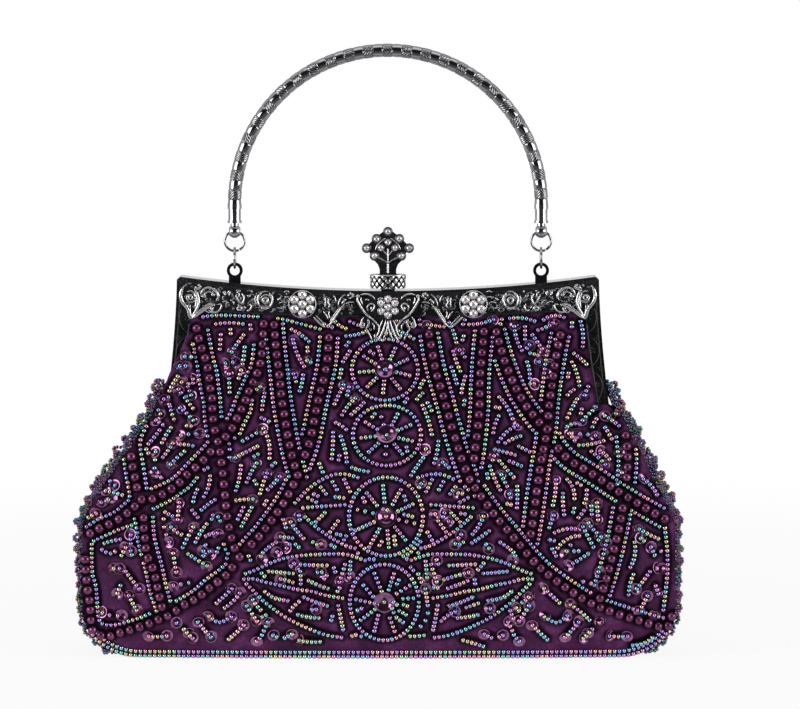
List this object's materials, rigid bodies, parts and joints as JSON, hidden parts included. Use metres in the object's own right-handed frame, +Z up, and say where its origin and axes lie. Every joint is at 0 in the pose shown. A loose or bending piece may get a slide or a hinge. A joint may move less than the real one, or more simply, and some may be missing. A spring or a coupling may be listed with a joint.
{
  "type": "frame purse with lever clasp",
  "caption": "Beaded evening purse on a two-part hinged metal frame with a jewelled lever clasp and an arched handle hung on rings.",
  "frame": {"origin": "centre of the flat base, on the surface the purse stands on", "axes": "+X to the right across the front, +Y from front to back through the closed frame, +Z up towards the handle"},
  "size_m": [0.2686, 0.0618, 0.2685],
  "materials": {
    "satin": "plum satin sewn all over with glass beads",
    "lining": "plain mauve lining satin",
    "board": "stiff bag board",
    "beads": "iridescent seed beads",
    "gunmetal": "antiqued gunmetal plate with bright high spots",
    "silver_plate": "antiqued silver plate",
    "crystal": "clear foil-backed glass stones"
  },
  "bodies": {
    "bag": {"front_panel_lower": "satin", "rear_panel_lower": "satin", "left_gusset": "satin", "right_gusset": "satin", "base_panel": "satin", "base_board": "board", "lining": "lining", "front_hem": "beads", "rear_hem": "beads", "left_bead_fringe": "beads", "right_bead_fringe": "beads", "left_hinge_rivet": "silver_plate", "right_hinge_rivet": "silver_plate"},
    "front_half": {"front_frame": "gunmetal", "front_panel_upper": "satin", "centre_ornament": "silver_plate", "left_rosette": "silver_plate", "right_rosette": "silver_plate", "ornament_stones": "crystal", "rosette_stones": "crystal", "left_lug": "gunmetal", "right_lug": "gunmetal", "lock_collar": "gunmetal", "lock_pin": "silver_plate", "lock_spring": "silver_plate"},
    "lock_lever": {"lock_finial": "silver_plate", "finial_stones": "crystal"},
    "rear_half": {"rear_frame": "gunmetal", "rear_panel_upper": "satin", "lock_keeper": "silver_plate"},
    "left_link": {"left_link_ring": "silver_plate"},
    "right_link": {"right_link_ring": "silver_plate"},
    "left_eye": {"left_eye_ring": "silver_plate"},
    "right_eye": {"right_eye_ring": "silver_plate"},
    "handle": {"handle_arch": "gunmetal", "left_ferrule": "silver_plate", "right_ferrule": "silver_plate", "left_ball_end": "silver_plate", "right_ball_end": "silver_plate"}
  },
  "joints": [
    {"name": "front_half_opening", "type": "hinge", "parent": "bag", "child": "front_half", "pos_m": [0, 0, 0.105], "axis": [1, 0, 0], "range_deg": [0, 30]},
    {"name": "rear_half_opening", "type": "hinge", "parent": "bag", "child": "rear_half", "pos_m": [0, 0, 0.105], "axis": [1, 0, 0], "range_deg": [-30, 0]},
    {"name": "lock_lever_tilt", "type": "hinge", "parent": "front_half", "child": "lock_lever", "pos_m": [0, -0.0015, 0.1644], "axis": [1, 0, 0], "range_deg": [0, 15], "stiffness_Nm_per_rad": 0.02},
    {"name": "left_link_swing", "type": "hinge", "parent": "front_half", "child": "left_link", "pos_m": [-0.0672, -0.00337, 0.17196], "axis": [1, 0, 0], "range_deg": [-25, 25]},
    {"name": "right_link_swing", "type": "hinge", "parent": "front_half", "child": "right_link", "pos_m": [0.0672, -0.00337, 0.17196], "axis": [1, 0, 0], "range_deg": [-25, 25]},
    {"name": "left_eye_swing", "type": "hinge", "parent": "left_link", "child": "left_eye", "pos_m": [-0.0672, -0.00337, 0.17771], "axis": [1, 0, 0], "range_deg": [-40, 40]},
    {"name": "right_eye_swing", "type": "hinge", "parent": "right_link", "child": "right_eye", "pos_m": [0.0672, -0.00337, 0.17771], "axis": [1, 0, 0], "range_deg": [-40, 40]},
    {"name": "handle_swing", "type": "hinge", "parent": "left_eye", "child": "handle", "pos_m": [0, -0.00337, 0.18631], "axis": [1, 0, 0], "range_deg": [-55, 55]}
  ],
  "couplings": [
    {"joint": "rear_half_opening", "follows": "front_half_opening", "ratio": -1},
    {"joint": "right_link_swing", "follows": "left_link_swing", "ratio": 1},
    {"joint": "right_eye_swing", "follows": "left_eye_swing", "ratio": 1}
  ]
}
